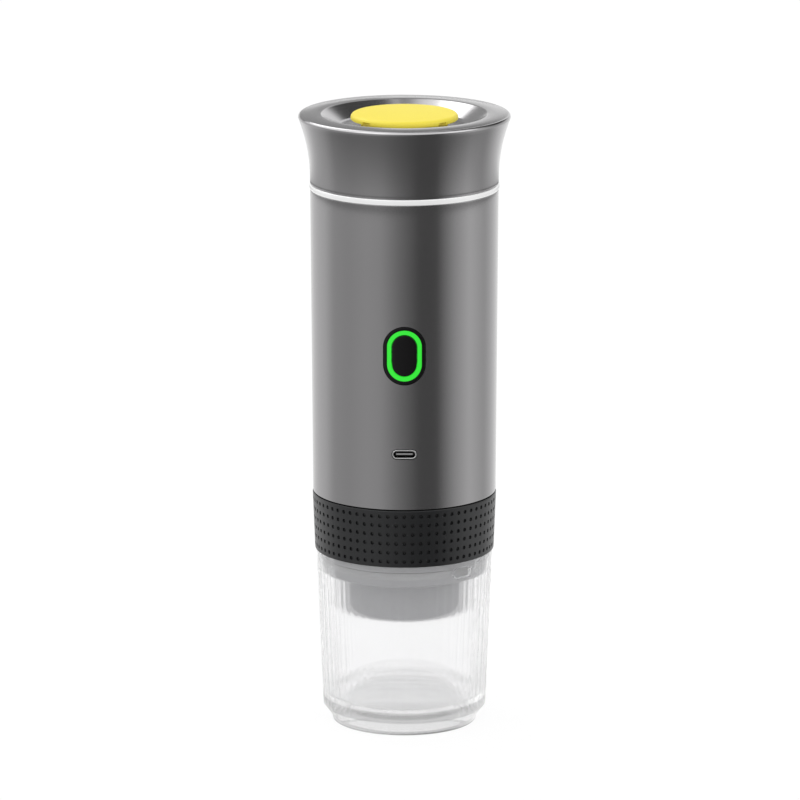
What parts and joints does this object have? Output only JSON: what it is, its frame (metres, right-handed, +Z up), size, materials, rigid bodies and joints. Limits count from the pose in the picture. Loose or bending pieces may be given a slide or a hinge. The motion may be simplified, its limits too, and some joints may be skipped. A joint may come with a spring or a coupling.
{
  "type": "portable capsule coffee maker",
  "caption": "Hand-held battery espresso maker: flared lid with filler plug, tapered metal body with lit button and charging port, screw-off brew unit and push-on fluted cup.",
  "frame": {"origin": "centre of the cup's foot, on the surface that it stands on", "axes": "+Z up along the body, -Y out of the power button"},
  "size_m": [0.0808, 0.0808, 0.2378],
  "materials": {
    "frosted_cup": "frosted, translucent",
    "black_rubber": "matt, dimpled",
    "grey_plastic": "satin",
    "dark_plastic": "satin",
    "white_silicone": "soft",
    "steel": "brushed",
    "port_steel": "bright",
    "nickel": "satin",
    "rotor_iron": "laminated",
    "cell_wrap": "shrink wrap",
    "sensor_case": "moulded",
    "board_green": "solder mask",
    "foam": "closed-cell foam",
    "bright_trim": "polished",
    "graphite_paint": "metallic satin",
    "black_gloss": "gloss",
    "green_light": "lit from behind",
    "yellow_plug": "satin"
  },
  "bodies": {
    "main": {"capsule_cage": "dark_plastic", "cage_seal": "white_silicone", "needle_plate": "steel", "piercing_needles": "steel", "head_gasket": "white_silicone", "cage_clamp": "steel", "brew_head": "dark_plastic", "cage_screws": "steel", "bottom_frame": "dark_plastic", "inner_frame": "dark_plastic", "frame_screws": "steel", "battery_cell_1": "cell_wrap", "battery_cell_2": "cell_wrap", "battery_cell_3": "cell_wrap", "battery_tabs": "nickel", "pump_motor": "steel", "pump_head": "dark_plastic", "inlet_hose": "white_silicone", "outlet_hose": "white_silicone", "heater_plate": "steel", "temperature_sensor": "sensor_case", "tank_liner": "steel", "tank_outlet": "dark_plastic", "tank_filter": "steel", "tank_insulation": "foam", "tank_collar": "dark_plastic", "trim_ring": "bright_trim", "body_shell": "graphite_paint", "button_bezel": "black_gloss", "light_ring": "green_light", "tact_switch": "sensor_case", "control_board": "board_green", "board_screws": "steel", "usb_socket": "port_steel", "usb_tongue": "sensor_case"},
    "lid_lift": {"lid_seal": "white_silicone"},
    "lid_thread": {"vent_seal": "white_silicone"},
    "lid": {"lid_shell": "graphite_paint", "lid_liner": "dark_plastic"},
    "plug": {"vent_plug": "yellow_plug"},
    "brew_lift": {"brew_gasket": "white_silicone"},
    "brew_thread": {"cup_ring": "white_silicone"},
    "brew_unit": {"grip_ring": "black_rubber", "brew_collar": "grey_plastic", "capsule_holder": "grey_plastic", "foil_plate": "steel", "outlet_spout": "dark_plastic"},
    "cup": {"cup": "frosted_cup"},
    "button": {"power_button": "black_gloss"},
    "rotor": {"motor_rotor": "rotor_iron"}
  },
  "joints": [
    {"name": "lid_off", "type": "slide", "parent": "main", "child": "lid_lift", "axis": [0, 0, 1], "range_m": [0, 0.03]},
    {"name": "lid_rise", "type": "slide", "parent": "lid_lift", "child": "lid_thread", "axis": [0, 0, 1], "range_m": [0, 0.00385]},
    {"name": "lid_turn", "type": "hinge", "parent": "lid_thread", "child": "lid", "pos_m": [0, 0, 0.211], "axis": [0, 0, 1], "range_deg": [0, 450]},
    {"name": "plug_lift", "type": "slide", "parent": "lid", "child": "plug", "axis": [0, 0, 1], "range_m": [0, 0.016]},
    {"name": "brew_off", "type": "slide", "parent": "main", "child": "brew_lift", "axis": [0, 0, -1], "range_m": [0, 0.045]},
    {"name": "brew_drop", "type": "slide", "parent": "brew_lift", "child": "brew_thread", "axis": [0, 0, -1], "range_m": [0, 0.0051]},
    {"name": "brew_turn", "type": "hinge", "parent": "brew_thread", "child": "brew_unit", "pos_m": [0, 0, 0.08], "axis": [0, 0, -1], "range_deg": [0, 450]},
    {"name": "cup_off", "type": "slide", "parent": "brew_unit", "child": "cup", "axis": [0, 0, -1], "range_m": [0, 0.032]},
    {"name": "button_press", "type": "slide", "parent": "main", "child": "button", "axis": [0, 1, 0], "range_m": [0, 0.0005], "stiffness_N_per_m": 2000, "springref_m": -0.0005},
    {"name": "rotor_spin", "type": "hinge", "parent": "main", "child": "rotor", "pos_m": [0, 0, 0.12], "axis": [0, 0, 1], "continuous": true}
  ],
  "couplings": [
    {"joint": "lid_rise", "follows": "lid_turn", "m_per_rad": 0.00047746},
    {"joint": "brew_drop", "follows": "brew_turn", "m_per_rad": 0.00063662}
  ]
}
